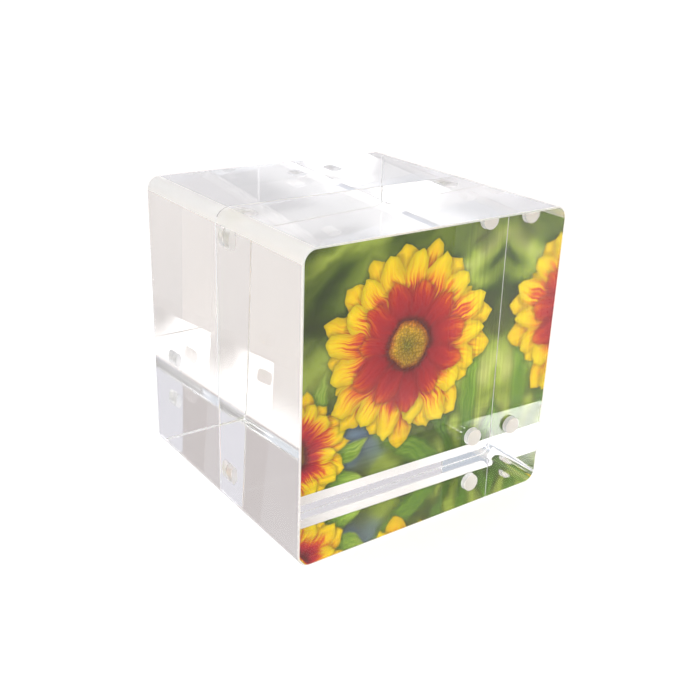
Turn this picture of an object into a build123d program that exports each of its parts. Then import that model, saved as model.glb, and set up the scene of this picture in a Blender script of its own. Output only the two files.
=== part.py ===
"""Clear acrylic block frame: two polished blocks held face to face by magnets, with a printed card between them.

Millimetres. X runs to the viewer's right, Y away from the viewer and Z up. The origin is on the table, under the
middle of the seam.
"""

import os

from build123d import *

# Blocks: a cube in two equal slabs of thick cast acrylic
block_width = 101.6
block_height = 101.6
block_depth = 48.5
corner_radius = 4.4  # the four long edges, from the front face to the back face
outer_arris = 0.5  # polished bevel round the front of the front block and the back of the rear one
mating_arris = 0.2  # finer round the mating faces, so that the card shows right out to the sides

# Printed card in the seam: cut to the blocks' width, and short at the foot
print_thickness = 0.3
print_side_margin = 0.05
print_top_margin = 0.2
print_bottom_margin = 2.7
print_clearance = 0.1  # air on each side of the card

# Magnets: plated discs, set flush in blind pockets
magnet_diameter = 6.35
magnet_length = 3.18
magnet_rim_bevel = 0.25
magnet_side_inset = 9.52  # from the block's side to the disc's centre
magnet_end_inset = 9.52  # from the block's top and bottom
magnet_recess = 0.05  # how far a disc lies below the mating face
glue_gap = 0.08  # round the disc and behind it
pocket_mouth_chamfer = 0.2

# Sizes that follow
seam_gap = print_thickness + 2 * print_clearance
print_width = block_width - 2 * print_side_margin
print_height = block_height - print_top_margin - print_bottom_margin
print_corner_radius = corner_radius - print_side_margin
pocket_radius = magnet_diameter / 2 + glue_gap
pocket_depth = magnet_recess + magnet_length + glue_gap

# Places that follow
block_middle_z = block_height / 2
print_middle_z = print_bottom_margin + print_height / 2
magnet_x = block_width / 2 - magnet_side_inset
magnet_low_z = magnet_end_inset
magnet_high_z = block_height - magnet_end_inset
magnet_places = {
    "top_left": (-magnet_x, magnet_high_z),
    "top_right": (magnet_x, magnet_high_z),
    "bottom_left": (-magnet_x, magnet_low_z),
    "bottom_right": (magnet_x, magnet_low_z),
}


def upright_plane(y):
    """An upright plane at y that faces the viewer: its own x and y are X and Z, and it extrudes towards -Y."""
    return Plane(origin=(0, y, 0), x_dir=(1, 0, 0), z_dir=(0, -1, 0))


def block(name, away):
    """One slab, from its mating face outwards: away is -1 for the front block (-Y) and 1 for the rear one (+Y)."""
    mating_face = upright_plane(away * seam_gap / 2)
    outwards = Axis((0, 0, 0), (0, away, 0))
    with BuildPart() as slab:
        with BuildSketch(mating_face):
            with Locations((0, block_middle_z)):
                RectangleRounded(block_width, block_height, corner_radius)
        extrude(amount=-away * block_depth)
        chamfer(slab.faces().sort_by(outwards)[-1].edges(), length=outer_arris)
        chamfer(slab.faces().sort_by(outwards)[0].edges(), length=mating_arris)

        # Blind pockets with flat floors, and a small bevel at each mouth
        with BuildSketch(mating_face):
            with Locations(*magnet_places.values()):
                Circle(pocket_radius)
        extrude(amount=-away * pocket_depth, mode=Mode.SUBTRACT)
        pocket_edges = slab.edges().filter_by(GeomType.CIRCLE).filter_by(
            lambda edge: abs(edge.radius - pocket_radius) < pocket_mouth_chamfer / 2
        )
        chamfer(pocket_edges.group_by(outwards)[0], length=pocket_mouth_chamfer)
    slab.part.label = name
    return slab.part


def magnet(name, place, away):
    """One plated disc, just below the mating face of the block that holds it."""
    with BuildPart() as disc:
        with BuildSketch(upright_plane(away * (seam_gap / 2 + magnet_recess))):
            with Locations(place):
                Circle(magnet_diameter / 2)
        extrude(amount=-away * magnet_length)
        chamfer(disc.edges().filter_by(GeomType.CIRCLE), length=magnet_rim_bevel)
    disc.part.label = name
    return disc.part


def card(name):
    """The printed card, upright in the middle of the seam."""
    with BuildPart() as sheet:
        with BuildSketch(upright_plane(print_thickness / 2)):
            with Locations((0, print_middle_z)):
                RectangleRounded(print_width, print_height, print_corner_radius)
        extrude(amount=print_thickness)
    sheet.part.label = name
    return sheet.part


pieces = [block("front_block", -1), block("rear_block", 1), card("photo_print")]
for half, away in (("front", -1), ("rear", 1)):
    for corner, place in magnet_places.items():
        pieces.append(magnet(f"{half}_magnet_{corner}", place, away))

os.makedirs("parts", exist_ok=True)
for piece in pieces:
    export_step(piece, f"parts/{piece.label}.step")
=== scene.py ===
"""Clear acrylic block frame: two polished blocks, the magnets in them and the printed card between them."""

import math
import bmesh
import bpy
from mathutils import Euler, Matrix, Vector


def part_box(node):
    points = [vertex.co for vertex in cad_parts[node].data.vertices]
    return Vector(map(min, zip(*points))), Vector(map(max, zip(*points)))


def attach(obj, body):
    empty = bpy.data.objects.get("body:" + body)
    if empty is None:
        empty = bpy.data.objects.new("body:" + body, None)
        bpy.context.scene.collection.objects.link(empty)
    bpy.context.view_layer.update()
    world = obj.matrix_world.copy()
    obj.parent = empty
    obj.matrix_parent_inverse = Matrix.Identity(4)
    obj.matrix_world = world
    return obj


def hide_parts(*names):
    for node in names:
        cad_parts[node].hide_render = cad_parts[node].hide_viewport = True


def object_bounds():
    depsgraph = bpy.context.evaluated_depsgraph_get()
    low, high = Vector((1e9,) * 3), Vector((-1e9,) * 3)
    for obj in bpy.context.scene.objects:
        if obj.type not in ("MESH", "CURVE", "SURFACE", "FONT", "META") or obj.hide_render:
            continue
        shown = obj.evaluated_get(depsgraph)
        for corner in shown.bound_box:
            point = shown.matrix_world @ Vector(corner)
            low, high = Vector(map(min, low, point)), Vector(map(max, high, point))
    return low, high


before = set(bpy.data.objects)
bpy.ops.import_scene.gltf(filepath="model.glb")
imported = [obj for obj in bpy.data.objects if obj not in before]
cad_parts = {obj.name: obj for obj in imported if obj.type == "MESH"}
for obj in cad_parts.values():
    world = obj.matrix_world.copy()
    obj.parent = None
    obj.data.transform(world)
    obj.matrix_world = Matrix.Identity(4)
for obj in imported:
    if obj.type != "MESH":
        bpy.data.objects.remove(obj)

cad_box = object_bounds()
MM = 0.001

# The photograph's camera, solved from the blocks' straight edges, in metres and degrees. The lens and the
# sensor are in millimetres
CAMERA_PLACE = (-0.18545, -0.25309, 0.17569)
CAMERA_TURN_DEGREES = (67.267, -1.989, -35.675)
CAMERA_LENS = 49.36
SENSOR_WIDTH = 36.0

# Sizes of the finish that the frame's boxes don't give
CORNER_RADIUS = 4.4 * MM
CORNER_STEPS = 16
OUTER_ARRIS = 0.5 * MM
# Half as wide as in the frame, because a wider one draws a light line down the print
MATING_ARRIS = 0.1 * MM
ARRIS_STEPS = 3
POCKET_SIDES = 72
POCKET_GAP = 0.08 * MM
POCKET_MOUTH = 0.2 * MM
CUTTER_OVERRUN = 1.0 * MM
MAGNET_SIDES = 96
MAGNET_RIM = 0.3 * MM
MAGNET_RIM_STEPS = 5
CARD_CORNER = 4.35 * MM
CARD_CORNER_STEPS = 10
SMOOTH_DEGREES = 30

# Two places closer than this are the same
SAME_PLACE = 1e-6
# A face's normal has more of Y than the first on a flat end, less than the second on a long side, and lies
# between them on an arris
FLAT_END = 0.999
LONG_SIDE = 0.05

# The film of air under the blocks, which lets their feet mirror as they do on a real table
FLOOR_GAP = 0.2 * MM

CORNERS = ("top_left", "top_right", "bottom_left", "bottom_right")

# A block's finishes, by their place among its materials
POLISHED, MILLED, SCRAPED, BUFFED, AS_CAST = range(5)

ACRYLIC_IOR = 1.491
WHITE = "#FFFFFF"


# Modelling helpers


def deselect_all():
    """Leaves nothing selected, as each operator below acts on all that is."""
    if bpy.context.object and bpy.context.object.mode != "OBJECT":
        bpy.ops.object.mode_set(mode="OBJECT")
    bpy.ops.object.select_all(action="DESELECT")


def make_active(piece):
    deselect_all()
    piece.select_set(True)
    bpy.context.view_layer.objects.active = piece


def settle(piece):
    """Puts the piece's place, turn and scale into its mesh, so that its object sits at the origin."""
    make_active(piece)
    bpy.ops.object.transform_apply(location=True, rotation=True, scale=True)


def add_box(name, low, high):
    """A box between two corners, as the start of a piece."""
    deselect_all()
    bpy.ops.mesh.primitive_cube_add(size=1.0, location=(low + high) / 2, scale=high - low)
    piece = bpy.context.object
    piece.name = piece.data.name = name
    settle(piece)
    return piece


def add_disc(name, centre, radius, length, sides):
    """A cylinder along Y, as the start of a piece."""
    deselect_all()
    bpy.ops.mesh.primitive_cylinder_add(
        vertices=sides, radius=radius, depth=length, location=centre, rotation=(math.pi / 2, 0, 0)
    )
    piece = bpy.context.object
    piece.name = piece.data.name = name
    settle(piece)
    return piece


def select_edges(piece, wanted):
    """Goes into edit mode with only the edges for which wanted(edge) is true selected."""
    make_active(piece)
    bpy.ops.object.mode_set(mode="EDIT")
    bpy.ops.mesh.select_mode(type="EDGE")
    bpy.ops.mesh.select_all(action="DESELECT")
    mesh = bmesh.from_edit_mesh(piece.data)
    for edge in mesh.edges:
        edge.select_set(bool(wanted(edge)))
    bmesh.update_edit_mesh(piece.data)


def bevel_edges(piece, wanted, width, steps):
    select_edges(piece, wanted)
    bpy.ops.mesh.bevel(offset=width, segments=steps, profile=0.5, affect="EDGES")
    bpy.ops.object.mode_set(mode="OBJECT")


def runs_along_y(edge):
    step = edge.verts[1].co - edge.verts[0].co
    return abs(step.y) > 0.9 * step.length


def bounds_flat_end(edge):
    """True on the rim of a face that looks along Y."""
    facing = [abs(face.normal.y) > FLAT_END for face in edge.link_faces]
    return any(facing) and not all(facing)


def lies_at(edge, y):
    return all(abs(vertex.co.y - y) < SAME_PLACE for vertex in edge.verts)


def near(point, centre, reach):
    """True for a point within reach of the centre, seen along Y."""
    return math.hypot(point.x - centre.x, point.z - centre.z) < reach


def smooth_faces(piece):
    """Smooth shading on the rounds, with the flat faces kept truly flat by weighting normals with area."""
    make_active(piece)
    bpy.ops.object.shade_smooth_by_angle(angle=math.radians(SMOOTH_DEGREES))
    flatten = piece.modifiers.new("flat faces stay flat", "WEIGHTED_NORMAL")
    flatten.keep_sharp = True
    flatten.weight = 100
    bpy.ops.object.modifier_apply(modifier=flatten.name)


# Material helpers


def colour(value):
    """An sRGB hex colour as linear RGBA, or a number as a grey of that strength."""
    if not isinstance(value, str):
        return (value, value, value, 1.0)
    parts = [int(value[i : i + 2], 16) / 255 for i in (1, 3, 5)]
    return (*[p / 12.92 if p <= 0.04045 else ((p + 0.055) / 1.055) ** 2.4 for p in parts], 1.0)


def spaced(millimetres):
    """The scale of a pattern whose features lie this far apart."""
    return 1.0 / (millimetres * MM)


def add_node(tree, kind, inputs=None, stops=None, **settings):
    """Adds a node and returns its outputs. inputs maps an input's name or number to a value or to another
    node's output, and stops are the places and colours of a colour ramp. A Mix node of colours has its factor
    at 0, its two colours at 6 and 7, and the mix at output 2."""
    node = tree.nodes.new(kind)
    for name, value in settings.items():
        setattr(node, name, value)
    for name, value in (inputs or {}).items():
        if isinstance(value, bpy.types.NodeSocket):
            tree.links.new(value, node.inputs[name])
        else:
            node.inputs[name].default_value = value
    if stops:
        ramp = node.color_ramp.elements
        ramp.remove(ramp[1])
        ramp[0].position, ramp[0].color = stops[0][0], colour(stops[0][1])
        for place, tint in stops[1:]:
            ramp.new(place).color = colour(tint)
    return node.outputs


def new_material(name):
    """An empty node material, ready for a shader, and its node tree."""
    material = bpy.data.materials.new(name)
    material.use_nodes = True
    material.node_tree.nodes.clear()
    return material, material.node_tree


def finish_acrylic(tree, roughness, bump, whiteness=0.0, tint="#F3F2F1", gloss=0.2):
    """The shader that every acrylic surface shares, where whiteness is the part of the light that a rough one
    scatters. A gloss under 1 keeps the white table's mirror image off the print, as a polarising filter does,
    and leaves total reflection whole."""
    shader = add_node(
        tree,
        "ShaderNodeBsdfPrincipled",
        {
            "Base Color": colour(tint),
            "Roughness": roughness,
            "IOR": ACRYLIC_IOR,
            "Specular Tint": colour(gloss),
            "Transmission Weight": 1.0 - whiteness,
            "Normal": bump,
        },
    )
    add_node(tree, "ShaderNodeOutputMaterial", {"Surface": shader[0]})


# The blocks', the magnets' and the card's materials


def polished_acrylic():
    """Cast acrylic (PMMA): colourless, mirror polished. The outer faces are as cast and quite flat, and the
    cut sides keep faint lines across the thickness from the diamond polishing."""
    material, tree = new_material("cast acrylic, diamond polished")
    texture = add_node(tree, "ShaderNodeTexCoord")
    place = texture["Object"]
    facing = add_node(tree, "ShaderNodeSeparateXYZ", {0: texture["Normal"]})
    along_y = add_node(tree, "ShaderNodeMath", {0: facing["Y"]}, operation="ABSOLUTE")[0]
    cut_side = add_node(
        tree, "ShaderNodeMath", {0: 1.0, 1: along_y}, operation="SUBTRACT", use_clamp=True
    )[0]
    # The diamond's passes, drawn 0.9 mm apart so that they show, on a slow wave 7 mm long. Both are only
    # microns high
    fine = add_node(tree, "ShaderNodeMapping", {"Vector": place, "Scale": (5.0, spaced(0.9), 5.0)})[0]
    passes = add_node(tree, "ShaderNodeTexNoise", {"Vector": fine, "Scale": 1.0, "Detail": 1.0})[0]
    slow = add_node(tree, "ShaderNodeMapping", {"Vector": place, "Scale": (14.0, spaced(7), 14.0)})[0]
    wave = add_node(tree, "ShaderNodeTexNoise", {"Vector": slow, "Scale": 1.0, "Detail": 1.0})[0]
    surface = add_node(tree, "ShaderNodeMath", {0: passes, 1: 0.12, 2: wave}, operation="MULTIPLY_ADD")[0]
    height = add_node(tree, "ShaderNodeMath", {0: surface, 1: cut_side}, operation="MULTIPLY")[0]
    bump = add_node(tree, "ShaderNodeBump", {"Height": height, "Strength": 1.0, "Distance": 0.01 * MM})[0]
    finish_acrylic(tree, 0.0, bump)
    return material


def milled_acrylic():
    """The magnets' pockets: acrylic as the end mill left it, with rings round the wall and a slight frost,
    which turns the bright discs pearly and ribs their sides with white."""
    material, tree = new_material("cast acrylic, end-milled")
    place = add_node(tree, "ShaderNodeTexCoord")["Object"]
    # One ring about every 0.55 mm of depth. A Wave node draws ten bands in a length of pi
    rings = add_node(
        tree,
        "ShaderNodeTexWave",
        {"Vector": place, "Scale": spaced(0.55) * math.pi / 10, "Distortion": 0.6, "Detail": 1.0},
        bands_direction="Y",
    )["Fac"]
    frost = add_node(tree, "ShaderNodeTexNoise", {"Vector": place, "Scale": spaced(0.6), "Detail": 2.0})[0]
    height = add_node(tree, "ShaderNodeMath", {0: frost, 1: 0.03, 2: rings}, operation="MULTIPLY_ADD")[0]
    bump = add_node(tree, "ShaderNodeBump", {"Height": height, "Strength": 1.0, "Distance": 0.05 * MM})[0]
    rough = add_node(tree, "ShaderNodeMapRange", {"Value": frost, "To Min": 0.3, "To Max": 0.4})[0]
    finish_acrylic(tree, rough, bump, whiteness=0.5)
    return material


def scraped_acrylic():
    """The arrises round the outer faces, and at the left of the mating ones: acrylic broken by hand with a
    scraper and left dull, so that those edges are drawn as thin white lines."""
    material, tree = new_material("cast acrylic, scraped edge")
    place = add_node(tree, "ShaderNodeTexCoord")["Object"]
    chatter = add_node(tree, "ShaderNodeTexNoise", {"Vector": place, "Scale": spaced(0.8), "Detail": 2.0})[0]
    bump = add_node(tree, "ShaderNodeBump", {"Height": chatter, "Strength": 0.6, "Distance": 0.03 * MM})[0]
    rough = add_node(tree, "ShaderNodeMapRange", {"Value": chatter, "To Min": 0.45, "To Max": 0.65})[0]
    finish_acrylic(tree, rough, bump, whiteness=0.55)
    return material


def buffed_acrylic():
    """The blocks' upper rounded edges: acrylic routed round and buffed on a cloth wheel, which leaves a milky
    haze with faint streaks along the edge, so that each one is drawn as a soft cream band."""
    material, tree = new_material("cast acrylic, routed and buffed")
    place = add_node(tree, "ShaderNodeTexCoord")["Object"]
    # The wheel's streaks, 0.8 mm apart across the edge and 12 mm long
    drawn_out = add_node(
        tree, "ShaderNodeMapping", {"Vector": place, "Scale": (spaced(0.8), spaced(12), spaced(0.8))}
    )[0]
    streaks = add_node(tree, "ShaderNodeTexNoise", {"Vector": drawn_out, "Scale": 1.0, "Detail": 1.0})[0]
    bump = add_node(tree, "ShaderNodeBump", {"Height": streaks, "Strength": 0.3, "Distance": 0.01 * MM})[0]
    rough = add_node(tree, "ShaderNodeMapRange", {"Value": streaks, "To Min": 0.29, "To Max": 0.36})[0]
    finish_acrylic(tree, rough, bump, whiteness=0.24, tint="#FCF9F3")
    return material


def as_cast_acrylic():
    """The mating faces: acrylic as the glass of its casting cell left it, smooth with a very slow wave. Its
    whole reflection shows the bright window over the foot of the print, and dark crescents at the magnets."""
    material, tree = new_material("cast acrylic, as-cast face")
    place = add_node(tree, "ShaderNodeTexCoord")["Object"]
    wave = add_node(tree, "ShaderNodeTexNoise", {"Vector": place, "Scale": spaced(25), "Detail": 0.0})[0]
    bump = add_node(tree, "ShaderNodeBump", {"Height": wave, "Strength": 1.0, "Distance": 0.005 * MM})[0]
    finish_acrylic(tree, 0.0, bump, gloss=1.0)
    return material


def nickel_plating():
    """Bright nickel over a pressed magnet: warm grey, softly polished by tumbling, with fine random marks."""
    material, tree = new_material("nickel plating, tumbled")
    place = add_node(tree, "ShaderNodeTexCoord")["Object"]
    marks = add_node(tree, "ShaderNodeTexNoise", {"Vector": place, "Scale": spaced(0.4), "Detail": 3.0})[0]
    rough = add_node(tree, "ShaderNodeMapRange", {"Value": marks, "To Min": 0.36, "To Max": 0.48})[0]
    bump = add_node(tree, "ShaderNodeBump", {"Height": marks, "Strength": 0.08, "Distance": 0.02 * MM})[0]
    shader = add_node(
        tree,
        "ShaderNodeBsdfPrincipled",
        {"Base Color": colour("#E2DBC8"), "Metallic": 1.0, "Roughness": rough, "Normal": bump},
    )
    add_node(tree, "ShaderNodeOutputMaterial", {"Surface": shader[0]})
    return material


def white_card():
    """Bright white photo card: the back and the cut edges, uncoated and slightly fibrous. The edge at the top
    is painted dark for the shade in the seam between the blocks, and draws the seam as a thin dark line."""
    material, tree = new_material("photo card, white uncoated")
    texture = add_node(tree, "ShaderNodeTexCoord")
    place = texture["Object"]
    fibre = add_node(tree, "ShaderNodeTexNoise", {"Vector": place, "Scale": spaced(0.5), "Detail": 4.0})[0]
    paper = add_node(tree, "ShaderNodeValToRGB", {0: fibre}, stops=[(0.0, "#F1F1F3"), (1.0, "#FCFCFC")])[0]
    facing = add_node(tree, "ShaderNodeSeparateXYZ", {0: texture["Normal"]})
    # Painted shade: the top edge is coloured dark purple-grey for the shade in the seam between the blocks
    painted_seam_shade = add_node(tree, "ShaderNodeMath", {0: facing["Z"], 1: 0.5}, operation="GREATER_THAN")[0]
    tone = add_node(
        tree, "ShaderNodeMix", {0: painted_seam_shade, 6: paper, 7: colour("#4C3E48")}, data_type="RGBA"
    )[2]
    bump = add_node(tree, "ShaderNodeBump", {"Height": fibre, "Strength": 0.2, "Distance": 0.02 * MM})[0]
    shader = add_node(
        tree, "ShaderNodeBsdfPrincipled", {"Base Color": tone, "Roughness": 0.7, "Normal": bump}
    )
    add_node(tree, "ShaderNodeOutputMaterial", {"Surface": shader[0]})
    return material


# The printed picture: garden flowers in front of leaves. Its nodes work in millimetres on the card, x to the
# right of the middle and z up from the table, and each layer is laid over the one before it.

# The white border at the foot ends here
BORDER_TOP = 6.2
# How far beyond a petal or a disc its shadow reaches
PETAL_SHADOW = 3.0
DISC_SHADOW = 2.6
FLORET_SPACING = 1.0
MAIN_BLOOM = (10, 52)
SECOND_BLOOM = (-37, 22)

# Half widths from root to tip, as parts of the widest
LEAF_OUTLINE = [(0.0, 0.2), (0.2, 0.55), (0.45, 0.95), (0.6, 1.0), (0.8, 0.72), (0.93, 0.36), (1.0, 0.0)]
PETAL_OUTLINE = [(0.0, 0.25), (0.25, 0.5), (0.5, 0.86), (0.66, 1.0), (0.82, 0.9), (0.93, 0.6), (1.0, 0.0)]

# Colours from root to tip, or from the middle of a disc to its rim
LEAF_TINTS = [(0.0, "#3E5A14"), (0.4, "#66902A"), (0.75, "#8DB03C"), (1.0, "#B2CA58")]
UPPER_TINTS = [
    (0.3, "#A01230"), (0.52, "#CC2A34"), (0.62, "#E45E1C"),
    (0.7, "#F6A60E"), (0.79, "#FDD408"), (1.0, "#FFE80E"),
]
LOWER_TINTS = [
    (0.3, "#8A0E28"), (0.54, "#B8222A"), (0.64, "#DA5A16"),
    (0.73, "#F0AA0A"), (0.83, "#F9CE0A"), (1.0, "#FDDE0E"),
]
INNER_TINTS = [(0.2, "#720A1C"), (0.5, "#A41424"), (0.75, "#BC2226"), (0.88, "#D2441C"), (1.0, "#E87C14")]
MAIN_DISC = [(0.0, "#8C8A22"), (0.35, "#B79A20"), (0.72, "#E0B024"), (0.9, "#C87818"), (1.0, "#8E3A14")]
SECOND_DISC = [(0.0, "#7A5A12"), (0.6, "#B4851A"), (1.0, "#8A4A18")]
# Darkest to palest
GARDEN_GREENS = [
    (0.24, "#24340C"), (0.37, "#465E16"), (0.49, "#7A9030"), (0.61, "#A6BA4A"), (0.76, "#CED878")
]


def lay_over(tree, below, layer):
    """Puts a layer, as its colour, its cover and the shadow it throws, on what is below it."""
    tint, cover, shadow = layer
    shaded = add_node(
        tree, "ShaderNodeMix", {0: shadow, 6: below, 7: colour("#1E2410")}, data_type="RGBA"
    )[2]
    return add_node(tree, "ShaderNodeMix", {0: cover, 6: shaded, 7: tint}, data_type="RGBA")[2]


def petal_ring(
    tree, place, centre, count, length, width, outline, tints,
    turn=0.0, soft=0.15, uneven=0.2, seed=0.0, shade=0.45, streak=0.16,
):
    """One ring of petals, or one fan of leaves, with its length and half width in millimetres. turn is in
    petals, soft is the blur of an edge in millimetres, uneven is how much the lengths differ, shade is the
    depth of the shadow that the ring throws, and streak is how far its veins shift its colours."""
    local = add_node(tree, "ShaderNodeMapping", {"Vector": place, "Location": (-centre[0], 0, -centre[1])})[0]
    axes = add_node(tree, "ShaderNodeSeparateXYZ", {0: local})
    angle = add_node(tree, "ShaderNodeMath", {0: axes["Z"], 1: axes["X"]}, operation="ARCTAN2")[0]
    reach = add_node(tree, "ShaderNodeVectorMath", {0: local}, operation="LENGTH")["Value"]

    # Which petal of the ring this is, and how long that one grew
    steps = add_node(
        tree, "ShaderNodeMath", {0: angle, 1: count / math.tau, 2: count + turn}, operation="MULTIPLY_ADD"
    )[0]
    whole = add_node(tree, "ShaderNodeMath", {0: steps}, operation="FLOOR")[0]
    number = add_node(tree, "ShaderNodeMath", {0: whole, 1: float(count)}, operation="MODULO")[0]
    lot = add_node(tree, "ShaderNodeMath", {0: number, 1: seed}, operation="ADD")[0]
    chance = add_node(tree, "ShaderNodeTexWhiteNoise", {"W": lot}, noise_dimensions="1D")["Value"]
    grown = add_node(
        tree,
        "ShaderNodeMapRange",
        {"Value": chance, "To Min": length * (1 - uneven), "To Max": length * (1 + uneven / 4)},
    )[0]
    along = add_node(tree, "ShaderNodeMath", {0: reach, 1: grown}, operation="DIVIDE")[0]

    # How far inside the petal's outline a point lies, in millimetres
    share = add_node(tree, "ShaderNodeValToRGB", {0: along}, stops=outline)[0]
    half_width = add_node(tree, "ShaderNodeMath", {0: share, 1: width}, operation="MULTIPLY")[0]
    fraction = add_node(tree, "ShaderNodeMath", {0: steps}, operation="FRACT")[0]
    off_middle = add_node(tree, "ShaderNodeMath", {0: fraction, 1: 0.5}, operation="SUBTRACT")[0]
    aside = add_node(tree, "ShaderNodeMath", {0: off_middle}, operation="ABSOLUTE")[0]
    turned = add_node(tree, "ShaderNodeMath", {0: aside, 1: reach}, operation="MULTIPLY")[0]
    arc = add_node(tree, "ShaderNodeMath", {0: turned, 1: math.tau / count}, operation="MULTIPLY")[0]
    from_flank = add_node(tree, "ShaderNodeMath", {0: half_width, 1: arc}, operation="SUBTRACT")[0]
    beyond_tip = add_node(tree, "ShaderNodeMath", {0: reach, 1: grown}, operation="SUBTRACT")[0]
    outside = add_node(tree, "ShaderNodeMath", {0: beyond_tip, 1: 0.0}, operation="MAXIMUM")[0]
    inside = add_node(tree, "ShaderNodeMath", {0: from_flank, 1: outside}, operation="SUBTRACT")[0]
    cover = add_node(
        tree,
        "ShaderNodeMapRange",
        {"Value": inside, "From Min": -soft, "From Max": soft},
        interpolation_type="SMOOTHSTEP",
    )[0]
    shadow = add_node(
        tree,
        "ShaderNodeMapRange",
        {"Value": inside, "From Min": -PETAL_SHADOW - soft, "From Max": 0.5, "To Max": shade},
        interpolation_type="SMOOTHSTEP",
    )[0]

    # Veins run from root to tip, about 0.7 mm apart, and differ from petal to petal
    grain = add_node(tree, "ShaderNodeCombineXYZ", {"X": arc, "Y": lot, "Z": along})[0]
    spread = add_node(tree, "ShaderNodeMapping", {"Vector": grain, "Scale": (1.4, 3.7, 2.2)})[0]
    veins = add_node(
        tree, "ShaderNodeTexNoise", {"Vector": spread, "Scale": 1.0, "Detail": 3.0, "Roughness": 0.6}
    )[0]
    shift = add_node(
        tree,
        "ShaderNodeMapRange",
        {"Value": veins, "From Min": 0.3, "From Max": 0.7, "To Min": -streak, "To Max": streak},
    )[0]
    shifted = add_node(tree, "ShaderNodeMath", {0: along, 1: shift}, operation="ADD")[0]
    body = add_node(tree, "ShaderNodeValToRGB", {0: shifted}, stops=tints)[0]

    # Each petal is fuller along its middle and darker where it turns away at the edge and at the root
    full = add_node(
        tree, "ShaderNodeMapRange", {"Value": inside, "From Max": width * 0.5, "To Min": 0.72, "To Max": 1.05}
    )[0]
    root = add_node(
        tree,
        "ShaderNodeMapRange",
        {"Value": along, "From Min": 0.15, "From Max": 0.5, "To Min": 0.7, "To Max": 1.0},
    )[0]
    light = add_node(tree, "ShaderNodeMath", {0: full, 1: root}, operation="MULTIPLY")[0]
    lit = add_node(tree, "ShaderNodeVectorMath", {0: body, "Scale": light}, operation="SCALE")["Vector"]
    return lit, cover, shadow


def flower_disc(tree, place, centre, radius, tints, soft=0.2):
    """The domed disc in the middle of a flower, set with small florets and lit from the upper left."""
    local = add_node(tree, "ShaderNodeMapping", {"Vector": place, "Location": (-centre[0], 0, -centre[1])})[0]
    reach = add_node(tree, "ShaderNodeVectorMath", {0: local}, operation="LENGTH")["Value"]
    cover = add_node(
        tree,
        "ShaderNodeMapRange",
        {"Value": reach, "From Min": radius + soft, "From Max": radius - soft},
        interpolation_type="SMOOTHSTEP",
    )[0]
    shadow = add_node(
        tree,
        "ShaderNodeMapRange",
        {"Value": reach, "From Min": radius + DISC_SHADOW, "From Max": radius, "To Max": 0.55},
        interpolation_type="SMOOTHSTEP",
    )[0]
    cells = add_node(
        tree, "ShaderNodeTexVoronoi", {"Vector": local, "Scale": 1.0 / FLORET_SPACING, "Randomness": 0.55}
    )[0]
    tips = add_node(
        tree,
        "ShaderNodeMapRange",
        {"Value": cells, "From Min": 0.15, "From Max": 0.65, "To Min": 1.15, "To Max": 0.55},
    )[0]
    along = add_node(tree, "ShaderNodeMath", {0: reach, 1: radius}, operation="DIVIDE")[0]
    body = add_node(tree, "ShaderNodeValToRGB", {0: along}, stops=tints)[0]
    axes = add_node(tree, "ShaderNodeSeparateXYZ", {0: local})
    slope = add_node(
        tree, "ShaderNodeMath", {0: axes["X"], 1: -0.4, 2: axes["Z"]}, operation="MULTIPLY_ADD"
    )[0]
    dome = add_node(
        tree,
        "ShaderNodeMapRange",
        {"Value": slope, "From Min": -radius, "From Max": radius, "To Min": 0.68, "To Max": 1.2},
    )[0]
    light = add_node(tree, "ShaderNodeMath", {0: dome, 1: tips}, operation="MULTIPLY")[0]
    lit = add_node(tree, "ShaderNodeVectorMath", {0: body, "Scale": light}, operation="SCALE")["Vector"]
    return lit, cover, shadow


def out_of_focus_garden(tree, place):
    """The background: greens with no sharp edge, a blue-grey haze low down and dark hollows."""
    # Leaning leaves, 34 mm long and 15 mm apart
    leaning = add_node(tree, "ShaderNodeMapping", {"Vector": place, "Rotation": (0, math.radians(35), 0)})[0]
    wide = add_node(tree, "ShaderNodeMapping", {"Vector": leaning, "Scale": (1 / 34, 1, 1 / 15)})[0]
    leaves = add_node(
        tree, "ShaderNodeTexNoise", {"Vector": wide, "Scale": 1.0, "Detail": 1.5, "Distortion": 0.6}
    )[0]
    greens = add_node(tree, "ShaderNodeValToRGB", {0: leaves}, stops=GARDEN_GREENS)[0]
    # A haze 22 mm up and 14 mm to the left. A Mapping node scales before it moves
    haze_place = add_node(
        tree, "ShaderNodeMapping", {"Vector": place, "Location": (0.63, 0, -1.32), "Scale": (0.045, 1, 0.06)}
    )[0]
    haze_reach = add_node(tree, "ShaderNodeVectorMath", {0: haze_place}, operation="LENGTH")["Value"]
    haze = add_node(
        tree,
        "ShaderNodeMapRange",
        {"Value": haze_reach, "From Min": 1.0, "From Max": 0.35, "To Max": 0.85},
        interpolation_type="SMOOTHSTEP",
    )[0]
    hazy = add_node(tree, "ShaderNodeMix", {0: haze, 6: greens, 7: colour("#6C86A8")}, data_type="RGBA")[2]
    # Hollows about 24 mm across
    hollow_place = add_node(
        tree, "ShaderNodeMapping", {"Vector": place, "Scale": (1 / 24, 1, 1 / 24), "Location": (3.7, 0, 1.3)}
    )[0]
    hollow = add_node(tree, "ShaderNodeTexNoise", {"Vector": hollow_place, "Scale": 1.0, "Detail": 1.0})[0]
    deep = add_node(
        tree, "ShaderNodeMapRange", {"Value": hollow, "From Min": 0.52, "From Max": 0.72, "To Max": 0.75}
    )[0]
    return add_node(tree, "ShaderNodeMix", {0: deep, 6: hazy, 7: colour("#454A22")}, data_type="RGBA")[2]


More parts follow.
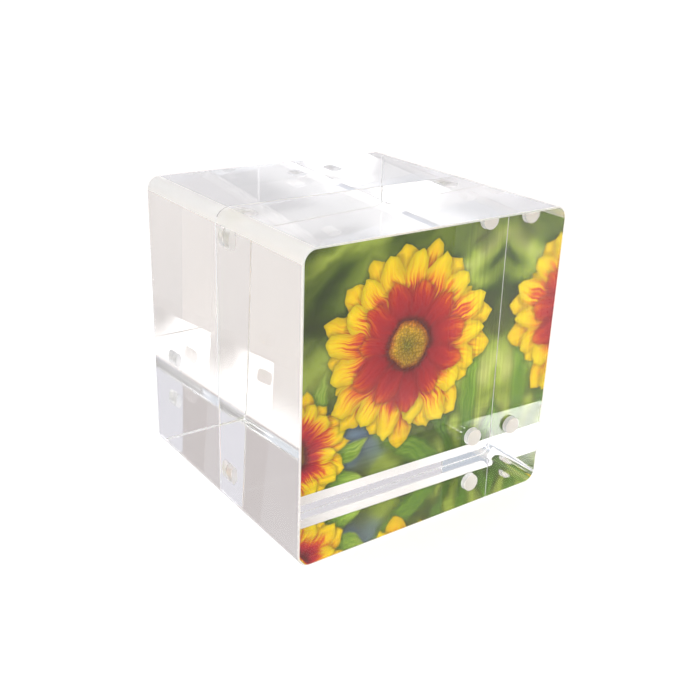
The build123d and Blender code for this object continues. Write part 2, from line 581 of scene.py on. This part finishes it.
def paint_caustic_lines(tree, spot, flat):
    """Painted light: faint lines of light and shade that the polishing marks on the blocks' foot and right
    side throw on the card by total reflection, level ones over the lowest 28 mm and upright ones from 22 mm
    right of the middle. These are drawn 0.9 mm apart so that they show."""
    axes = add_node(tree, "ShaderNodeSeparateXYZ", {0: spot})
    painted_caustic_light = 1.0
    for axis, scale, start, full in (("Z", (0.02, 1, 1 / 0.9), 28, 16), ("X", (1 / 0.9, 1, 0.02), 22, 34)):
        spread = add_node(tree, "ShaderNodeMapping", {"Vector": flat, "Scale": scale})[0]
        band = add_node(tree, "ShaderNodeTexNoise", {"Vector": spread, "Scale": 1.0, "Detail": 1.0})[0]
        strength = add_node(
            tree,
            "ShaderNodeMapRange",
            {"Value": axes[axis], "From Min": start * MM, "From Max": full * MM, "To Max": 0.8},
        )[0]
        swing = add_node(tree, "ShaderNodeMath", {0: band, 1: 0.5}, operation="SUBTRACT")[0]
        line = add_node(
            tree, "ShaderNodeMath", {0: swing, 1: strength, 2: 1.0}, operation="MULTIPLY_ADD"
        )[0]
        painted_caustic_light = add_node(tree, "ShaderNodeMath", {0: line, 1: painted_caustic_light}, operation="MULTIPLY")[0]
    return painted_caustic_light


def printed_picture():
    """Photo paper, printed: saturated inks with a quiet satin surface, so that they stay deep behind the
    acrylic, and a border left white at the foot."""
    material, tree = new_material("photo paper, satin print")
    spot = add_node(tree, "ShaderNodeTexCoord")["Object"]
    flat = add_node(tree, "ShaderNodeMapping", {"Vector": spot, "Scale": (spaced(1), 0, spaced(1))})[0]
    # A real petal is never quite straight: the whole drawing wanders by a millimetre or two, every 9 mm or so
    ripple = add_node(tree, "ShaderNodeTexNoise", {"Vector": flat, "Scale": 0.11, "Detail": 2.0})["Color"]
    centred = add_node(tree, "ShaderNodeVectorMath", {0: ripple, 1: (0.5, 0.5, 0.5)}, operation="SUBTRACT")[0]
    shove = add_node(tree, "ShaderNodeVectorMath", {0: centred, "Scale": 6.0}, operation="SCALE")[0]
    wandering = add_node(tree, "ShaderNodeVectorMath", {0: flat, 1: shove}, operation="ADD")[0]
    place = add_node(tree, "ShaderNodeVectorMath", {0: wandering, 1: (1, 0, 1)}, operation="MULTIPLY")[0]

    layers = [
        petal_ring(tree, place, (38, -6), 13, 74, 4.2, LEAF_OUTLINE, LEAF_TINTS,
                   turn=0.3, soft=1.6, uneven=0.4, seed=11.0, shade=0.3, streak=0.25),
        petal_ring(tree, place, (-31, 14), 11, 36, 3.6, LEAF_OUTLINE, LEAF_TINTS,
                   turn=0.1, soft=0.9, uneven=0.4, seed=23.0, shade=0.35, streak=0.25),
        # A second bloom, behind and a little out of focus
        petal_ring(tree, place, SECOND_BLOOM, 15, 25, 4.1, PETAL_OUTLINE, LOWER_TINTS,
                   turn=0.5, soft=0.6, seed=31.0),
        petal_ring(tree, place, SECOND_BLOOM, 15, 22, 4.1, PETAL_OUTLINE, UPPER_TINTS, soft=0.6, seed=37.0),
        flower_disc(tree, place, SECOND_BLOOM, 6.5, SECOND_DISC, soft=0.6),
        # The main bloom: three rings of pointed petals round a small disc
        petal_ring(tree, place, MAIN_BLOOM, 17, 37, 6.0, PETAL_OUTLINE, LOWER_TINTS, uneven=0.16, seed=3.0),
        petal_ring(tree, place, MAIN_BLOOM, 17, 35, 5.6, PETAL_OUTLINE, UPPER_TINTS,
                   turn=0.5, uneven=0.16, seed=5.0),
        petal_ring(tree, place, MAIN_BLOOM, 11, 25, 5.4, PETAL_OUTLINE, INNER_TINTS, turn=0.25, seed=7.0),
        flower_disc(tree, place, MAIN_BLOOM, 8.6, MAIN_DISC),
    ]
    picture = out_of_focus_garden(tree, place)
    for layer in layers:
        picture = lay_over(tree, picture, layer)
    # Painted light: the print is lit and shaded in fine lines where the blocks' foot and right side throw
    # light on it
    painted_caustic_light = paint_caustic_lines(tree, spot, flat)
    picture = add_node(
        tree, "ShaderNodeVectorMath", {0: picture, "Scale": painted_caustic_light}, operation="SCALE"
    )["Vector"]

    axes = add_node(tree, "ShaderNodeSeparateXYZ", {0: flat})
    border = add_node(tree, "ShaderNodeMath", {0: axes["Z"], 1: BORDER_TOP}, operation="LESS_THAN")[0]
    inked = add_node(
        tree, "ShaderNodeMix", {0: border, 6: picture, 7: colour("#FDFDFD")}, data_type="RGBA"
    )[2]
    # The paper's own grain, about 0.45 mm
    grain = add_node(tree, "ShaderNodeTexNoise", {"Vector": flat, "Scale": 2.2, "Detail": 2.0})[0]
    bump = add_node(tree, "ShaderNodeBump", {"Height": grain, "Strength": 0.08, "Distance": 0.02 * MM})[0]
    shader = add_node(
        tree,
        "ShaderNodeBsdfPrincipled",
        {"Base Color": inked, "Roughness": 0.45, "Specular IOR Level": 0.12, "Normal": bump},
    )
    add_node(tree, "ShaderNodeOutputMaterial", {"Surface": shader[0]})
    return material


# The pieces


def cut_pocket(piece, magnet, mating_y, towards):
    """Cuts one magnet's blind pocket into the mating face, and returns its centre, radius and depth."""
    low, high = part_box(magnet)
    radius = (high.x - low.x) / 2 + POCKET_GAP
    floor_y = (low.y if towards > 0 else high.y) - towards * POCKET_GAP
    open_y = mating_y + towards * CUTTER_OVERRUN
    centre = Vector(((low.x + high.x) / 2, (floor_y + open_y) / 2, (low.z + high.z) / 2))
    cutter = add_disc("pocket_cutter", centre, radius, abs(open_y - floor_y), POCKET_SIDES)
    make_active(piece)
    cut = piece.modifiers.new("pocket", "BOOLEAN")
    cut.operation = "DIFFERENCE"
    cut.solver = "EXACT"
    cut.object = cutter
    bpy.ops.object.modifier_apply(modifier=cut.name)
    make_active(cutter)
    bpy.ops.object.delete()
    return centre, radius, abs(mating_y - floor_y)


def on_pocket_rim(edge, pockets, mating_y):
    """True for an edge of a pocket's round opening in the mating face."""
    middle = (edge.verts[0].co + edge.verts[1].co) / 2
    by_pocket = any(near(middle, centre, 2 * radius) for centre, radius, depth in pockets)
    return by_pocket and bounds_flat_end(edge) and lies_at(edge, mating_y)


def in_pocket(face, pockets, mating_y):
    """True for a face of a magnet's pocket: its wall, its floor or the bevel at its mouth."""
    inwards = abs(face.center.y - mating_y)
    for centre, radius, depth in pockets:
        over_pocket = near(face.center, centre, radius + 1.5 * POCKET_MOUTH)
        if over_pocket and POCKET_MOUTH / 4 < inwards < depth + POCKET_GAP:
            return True
    return False


def on_scraped_arris(face, mating_y, outer_y):
    """True for a face of the bevel round the outer face, or of the left side of the one round the mating
    face, whose other sides are polished."""
    slopes = LONG_SIDE < abs(face.normal.y) < FLAT_END
    at_outer = abs(face.center.y - outer_y) < OUTER_ARRIS
    at_left = abs(face.center.y - mating_y) < MATING_ARRIS and face.normal.x < -0.3
    return slopes and (at_outer or at_left)


def on_upper_rounding(face):
    """True for a face of one of the two long rounded edges at the top, neither upright nor level. The lower
    ones are polished."""
    return abs(face.normal.y) < LONG_SIDE and 0.01 < face.normal.z < 0.9995


def finish_of(face, pockets, mating_y, outer_y):
    """Which of a block's finishes a face has."""
    if in_pocket(face, pockets, mating_y):
        return MILLED
    if on_scraped_arris(face, mating_y, outer_y):
        return SCRAPED
    if on_upper_rounding(face):
        return BUFFED
    if abs(face.center.y - mating_y) < MATING_ARRIS / 4:
        return AS_CAST
    return POLISHED


def acrylic_block(name, node, magnets, towards, finishes):
    """One block, with its materials in the order of the finishes. towards is the way its mating face looks
    along Y."""
    low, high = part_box(node)
    mating_y, outer_y = (high.y, low.y) if towards > 0 else (low.y, high.y)
    piece = add_box(name, low, high)
    bevel_edges(piece, runs_along_y, CORNER_RADIUS, CORNER_STEPS)
    for y, width in ((outer_y, OUTER_ARRIS), (mating_y, MATING_ARRIS)):
        bevel_edges(piece, lambda edge: bounds_flat_end(edge) and lies_at(edge, y), width, ARRIS_STEPS)
    pockets = [cut_pocket(piece, magnet, mating_y, towards) for magnet in magnets]
    bevel_edges(piece, lambda edge: on_pocket_rim(edge, pockets, mating_y), POCKET_MOUTH, 1)
    smooth_faces(piece)
    piece.data.materials.clear()
    for finish in finishes:
        piece.data.materials.append(finish)
    for face in piece.data.polygons:
        face.material_index = finish_of(face, pockets, mating_y, outer_y)
    return piece


def plated_magnet(name, node, material):
    low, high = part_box(node)
    piece = add_disc(name, (low + high) / 2, (high.x - low.x) / 2, high.y - low.y, MAGNET_SIDES)
    bevel_edges(piece, bounds_flat_end, MAGNET_RIM, MAGNET_RIM_STEPS)
    smooth_faces(piece)
    piece.data.materials.append(material)
    return piece


def printed_card(name, node, picture, card):
    """The card, with the picture on the side that looks at the viewer and bare card on all the others."""
    low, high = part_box(node)
    piece = add_box(name, low, high)
    bevel_edges(piece, runs_along_y, CARD_CORNER, CARD_CORNER_STEPS)
    piece.data.materials.append(card)
    piece.data.materials.append(picture)
    for face in piece.data.polygons:
        face.material_index = 1 if face.normal.y < -0.9 else 0
    return piece


acrylic_finishes = (
    polished_acrylic(),
    milled_acrylic(),
    scraped_acrylic(),
    buffed_acrylic(),
    as_cast_acrylic(),
)
nickel = nickel_plating()
for half, towards in (("front", 1), ("rear", -1)):
    body = f"{half}_half"
    nodes = [f"{half}_magnet_{corner}" for corner in CORNERS]
    block = acrylic_block(f"{half}_block_acrylic", f"{half}_block", nodes, towards, acrylic_finishes)
    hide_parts(f"{half}_block")
    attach(block, body)
    for node in nodes:
        magnet = plated_magnet(f"{node}_plated", node, nickel)
        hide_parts(node)
        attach(magnet, body)

card = printed_card("photo_print_card", "photo_print", printed_picture(), white_card())
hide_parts("photo_print")
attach(card, "print")


# Stage, light and camera

# What the table and the world add to their own tones: enough for plain white where they are seen straight,
# and only a little where they are mirrored, or seen through the acrylic, which adds twice that. Against pure
# white the acrylic would be almost invisible
TABLE_STRAIGHT = 0.3
TABLE_IN_GLASS = 0.03
WORLD_IN_GLASS = 0.06

# The pools of light that the acrylic gathers on the table, in millimetres: a long one under its right side
# and a small one under its front edge. Each has what it adds to TABLE_IN_GLASS, and for X and Y its middle and
# how far its soft edge and its full part reach
POOLS = (
    (0.2, {"X": (47, 27, 9), "Y": (10, 110, 80)}),
    (0.13, {"X": (8, 26, 12), "Y": (-47, 16, 7)}),
)

# What the world gives the card in light beyond what the acrylic mirrors, because the card lies so deep in it
WORLD_EXTRA_LIGHT = 0.18


def seen_in_glass(tree, path):
    """2 for what is seen through the acrylic, which counts both as glossy and as transmitted, 1 for what it or
    the nickel mirrors, and otherwise 0."""
    return add_node(
        tree, "ShaderNodeMath", {0: path["Is Glossy Ray"], 1: path["Is Transmission Ray"]}, operation="ADD"
    )[0]


def lighting_things(tree, path):
    """1 for light that the card or another dull surface gathers, and 0 for what is only mirrored or seen."""
    return add_node(tree, "ShaderNodeMath", {0: path["Diffuse Depth"], 1: 0.5}, operation="GREATER_THAN")[0]


def pool_of_light(tree, axes, strength, extents):
    """One soft-edged pool on the table."""
    pool = strength
    for axis, (middle, soft, full) in extents.items():
        beside = add_node(tree, "ShaderNodeMath", {0: axes[axis], 1: middle * MM}, operation="SUBTRACT")[0]
        distance = add_node(tree, "ShaderNodeMath", {0: beside}, operation="ABSOLUTE")[0]
        share = add_node(
            tree,
            "ShaderNodeMapRange",
            {"Value": distance, "From Min": soft * MM, "From Max": full * MM},
            interpolation_type="SMOOTHSTEP",
        )[0]
        pool = add_node(tree, "ShaderNodeMath", {0: share, 1: pool}, operation="MULTIPLY")[0]
    return pool


def floor():
    deselect_all()
    bpy.ops.mesh.primitive_plane_add(size=30.0, location=(0, 0, -FLOOR_GAP))
    plane = bpy.context.object
    plane.name = plane.data.name = "floor"
    material, tree = new_material("white table")
    spot = add_node(tree, "ShaderNodeTexCoord")["Object"]
    axes = add_node(tree, "ShaderNodeSeparateXYZ", {0: spot})
    # The table is neutral under the blocks and warmer to their right, which the left sides show
    beyond = add_node(
        tree,
        "ShaderNodeMapRange",
        {"Value": axes["X"], "From Min": 50 * MM, "From Max": 65 * MM},
        interpolation_type="SMOOTHSTEP",
    )[0]
    tone = add_node(
        tree, "ShaderNodeMix", {0: beyond, 6: colour("#E6E6E6"), 7: colour("#E2DCD7")}, data_type="RGBA"
    )[2]
    paint = add_node(tree, "ShaderNodeBsdfDiffuse", {"Color": tone})
    glass_lift = TABLE_IN_GLASS
    for strength, extents in POOLS:
        pool = pool_of_light(tree, axes, strength, extents)
        glass_lift = add_node(tree, "ShaderNodeMath", {0: pool, 1: glass_lift}, operation="ADD")[0]
    path = add_node(tree, "ShaderNodeLightPath")
    straight = add_node(
        tree, "ShaderNodeMath", {0: path["Is Camera Ray"], 1: TABLE_STRAIGHT}, operation="MULTIPLY"
    )[0]
    lift = add_node(
        tree,
        "ShaderNodeMath",
        {0: seen_in_glass(tree, path), 1: glass_lift, 2: straight},
        operation="MULTIPLY_ADD",
    )[0]
    glow = add_node(tree, "ShaderNodeEmission", {"Color": colour(WHITE), "Strength": lift})
    table = add_node(tree, "ShaderNodeAddShader", {0: paint[0], 1: glow[0]})
    add_node(tree, "ShaderNodeOutputMaterial", {"Surface": table[0]})
    plane.data.materials.append(material)


def soft_lamp(name, place, aim, size, power, roll_degrees=0.0, seen=1.0, lit=1.0, fade_share=0.3):
    """A rectangular softbox that the camera doesn't see. Its sides fade out over fade_share of its size. seen
    is the share of its strength that the acrylic and the nickel show, and lit the share that the card gets."""
    light = bpy.data.lights.new(name, "AREA")
    light.shape = "RECTANGLE"
    light.size, light.size_y = size
    light.energy = power
    light.use_nodes = True
    tree = light.node_tree
    tree.nodes.clear()
    spot = add_node(tree, "ShaderNodeNewGeometry")["Parametric"]
    axes = add_node(tree, "ShaderNodeSeparateXYZ", {0: spot})
    lighting = lighting_things(tree, add_node(tree, "ShaderNodeLightPath"))
    glow = add_node(tree, "ShaderNodeMapRange", {"Value": lighting, "To Min": seen, "To Max": lit})[0]
    for axis in ("X", "Y"):
        inwards = add_node(tree, "ShaderNodeMath", {0: axes[axis], 1: 0.5}, operation="PINGPONG")[0]
        fade = add_node(
            tree,
            "ShaderNodeMapRange",
            {"Value": inwards, "From Max": fade_share},
            interpolation_type="SMOOTHSTEP",
        )[0]
        glow = add_node(tree, "ShaderNodeMath", {0: fade, 1: glow}, operation="MULTIPLY")[0]
    shine = add_node(tree, "ShaderNodeEmission", {"Strength": glow})
    add_node(tree, "ShaderNodeOutputLight", {"Surface": shine[0]})
    holder = bpy.data.objects.new(name, light)
    look = (Vector(aim) - Vector(place)).to_track_quat("-Z", "Y").to_matrix()
    holder.rotation_euler = (look @ Matrix.Rotation(math.radians(roll_degrees), 3, "Z")).to_euler()
    holder.location = place
    bpy.context.scene.collection.objects.link(holder)
    holder.visible_camera = False


def room_colours(tree, way):
    """A white ceiling, from 30 to 53 degrees up, over pale walls, warm in front and cool behind."""
    axes = add_node(tree, "ShaderNodeSeparateXYZ", {0: way})
    right = add_node(tree, "ShaderNodeMapRange", {"Value": axes["X"], "From Min": -0.2, "From Max": 0.2})[0]
    behind = add_node(tree, "ShaderNodeMapRange", {"Value": axes["Y"], "From Min": -0.2, "From Max": 0.2})[0]
    near_walls = add_node(
        tree, "ShaderNodeMix", {0: right, 6: colour("#F7F5F2"), 7: colour("#D2C9C8")}, data_type="RGBA"
    )[2]
    far_walls = add_node(
        tree, "ShaderNodeMix", {0: right, 6: colour("#DFEAF8"), 7: colour("#F2F1FA")}, data_type="RGBA"
    )[2]
    walls = add_node(tree, "ShaderNodeMix", {0: behind, 6: near_walls, 7: far_walls}, data_type="RGBA")[2]
    overhead = add_node(
        tree,
        "ShaderNodeMapRange",
        {"Value": axes["Z"], "From Min": 0.5, "From Max": 0.8},
        interpolation_type="SMOOTHSTEP",
    )[0]
    return add_node(tree, "ShaderNodeMix", {0: overhead, 6: walls, 7: colour(WHITE)}, data_type="RGBA")[2]


def studio_world():
    """The pale room for the acrylic to show, with a dark shade round the lens. Seen straight, it is white."""
    world = bpy.data.worlds.new("studio")
    bpy.context.scene.world = world
    world.use_nodes = True
    tree = world.node_tree
    tree.nodes.clear()
    way = add_node(tree, "ShaderNodeTexCoord")["Generated"]
    path = add_node(tree, "ShaderNodeLightPath")
    lighting = lighting_things(tree, path)
    # The shade, which the blocks' rounded edges and corners show as thin dark lines, and which dims nothing.
    # Its soft edge lies 18 to 24 degrees from the lens
    lens_way = (Vector(CAMERA_PLACE) - Vector((0, 0, cad_box[1][2] / 2))).normalized()
    towards_lens = add_node(
        tree, "ShaderNodeVectorMath", {0: way, 1: lens_way}, operation="DOT_PRODUCT"
    )["Value"]
    hood = add_node(
        tree,
        "ShaderNodeMapRange",
        {"Value": towards_lens, "From Min": 0.91, "From Max": 0.95},
        interpolation_type="SMOOTHSTEP",
    )[0]
    seen_hood = add_node(
        tree, "ShaderNodeMath", {0: hood, 1: lighting}, operation="SUBTRACT", use_clamp=True
    )[0]
    bright = room_colours(tree, way)
    room = add_node(
        tree, "ShaderNodeMix", {0: seen_hood, 6: bright, 7: colour("#2A2430")}, data_type="RGBA"
    )[2]
    lift = add_node(
        tree,
        "ShaderNodeMath",
        {0: seen_in_glass(tree, path), 1: WORLD_IN_GLASS, 2: path["Is Camera Ray"]},
        operation="MULTIPLY_ADD",
        use_clamp=True,
    )[0]
    seen = add_node(tree, "ShaderNodeMix", {0: lift, 6: room, 7: colour(WHITE)}, data_type="RGBA")[2]
    strength = add_node(
        tree, "ShaderNodeMath", {0: lighting, 1: WORLD_EXTRA_LIGHT, 2: 1.0}, operation="MULTIPLY_ADD"
    )[0]
    backdrop = add_node(tree, "ShaderNodeBackground", {"Color": seen, "Strength": strength})
    add_node(tree, "ShaderNodeOutputWorld", {"Surface": backdrop[0]})


def photo_camera():
    data = bpy.data.cameras.new("camera")
    data.lens = CAMERA_LENS
    data.sensor_width = SENSOR_WIDTH
    data.clip_start = 0.01
    camera = bpy.data.objects.new("camera", data)
    camera.location = CAMERA_PLACE
    camera.rotation_euler = Euler([math.radians(a) for a in CAMERA_TURN_DEGREES], "XYZ")
    bpy.context.scene.collection.objects.link(camera)
    bpy.context.scene.camera = camera


floor()
studio_world()
soft_lamp(
    "window_beside_camera",
    place=(-0.496, -0.436, 0.224),
    aim=(0.03, -0.02, 0.03),
    size=(0.75, 0.30),
    power=4.6,
    roll_degrees=-40.0,
    seen=0.15,
    lit=0.7,
)
# A bright gap just below and left of the lens, which square corners of the blocks send straight back
soft_lamp(
    "window_gap",
    place=(-0.212, -0.258, 0.150),
    aim=(0.0, 0.0, 0.0),
    size=(0.09, 0.075),
    power=0.7,
    roll_degrees=-40.0,
    lit=0.0,
    fade_share=0.5,
)
soft_lamp("softbox_overhead", place=(0.15, -0.25, 1.0), aim=(0, 0, 0), size=(0.5, 0.5), power=0.15)
photo_camera()

scene = bpy.context.scene
scene.view_settings.view_transform = "Standard"
# Enough bounces for light that is trapped in the two blocks to find its way out
scene.cycles.max_bounces = 96
scene.cycles.glossy_bounces = 96
scene.cycles.transmission_bounces = 96
scene.cycles.diffuse_bounces = 4
# Light that comes through the acrylic to the card and the table isn't blurred on its way
scene.cycles.blur_glossy = 0.0
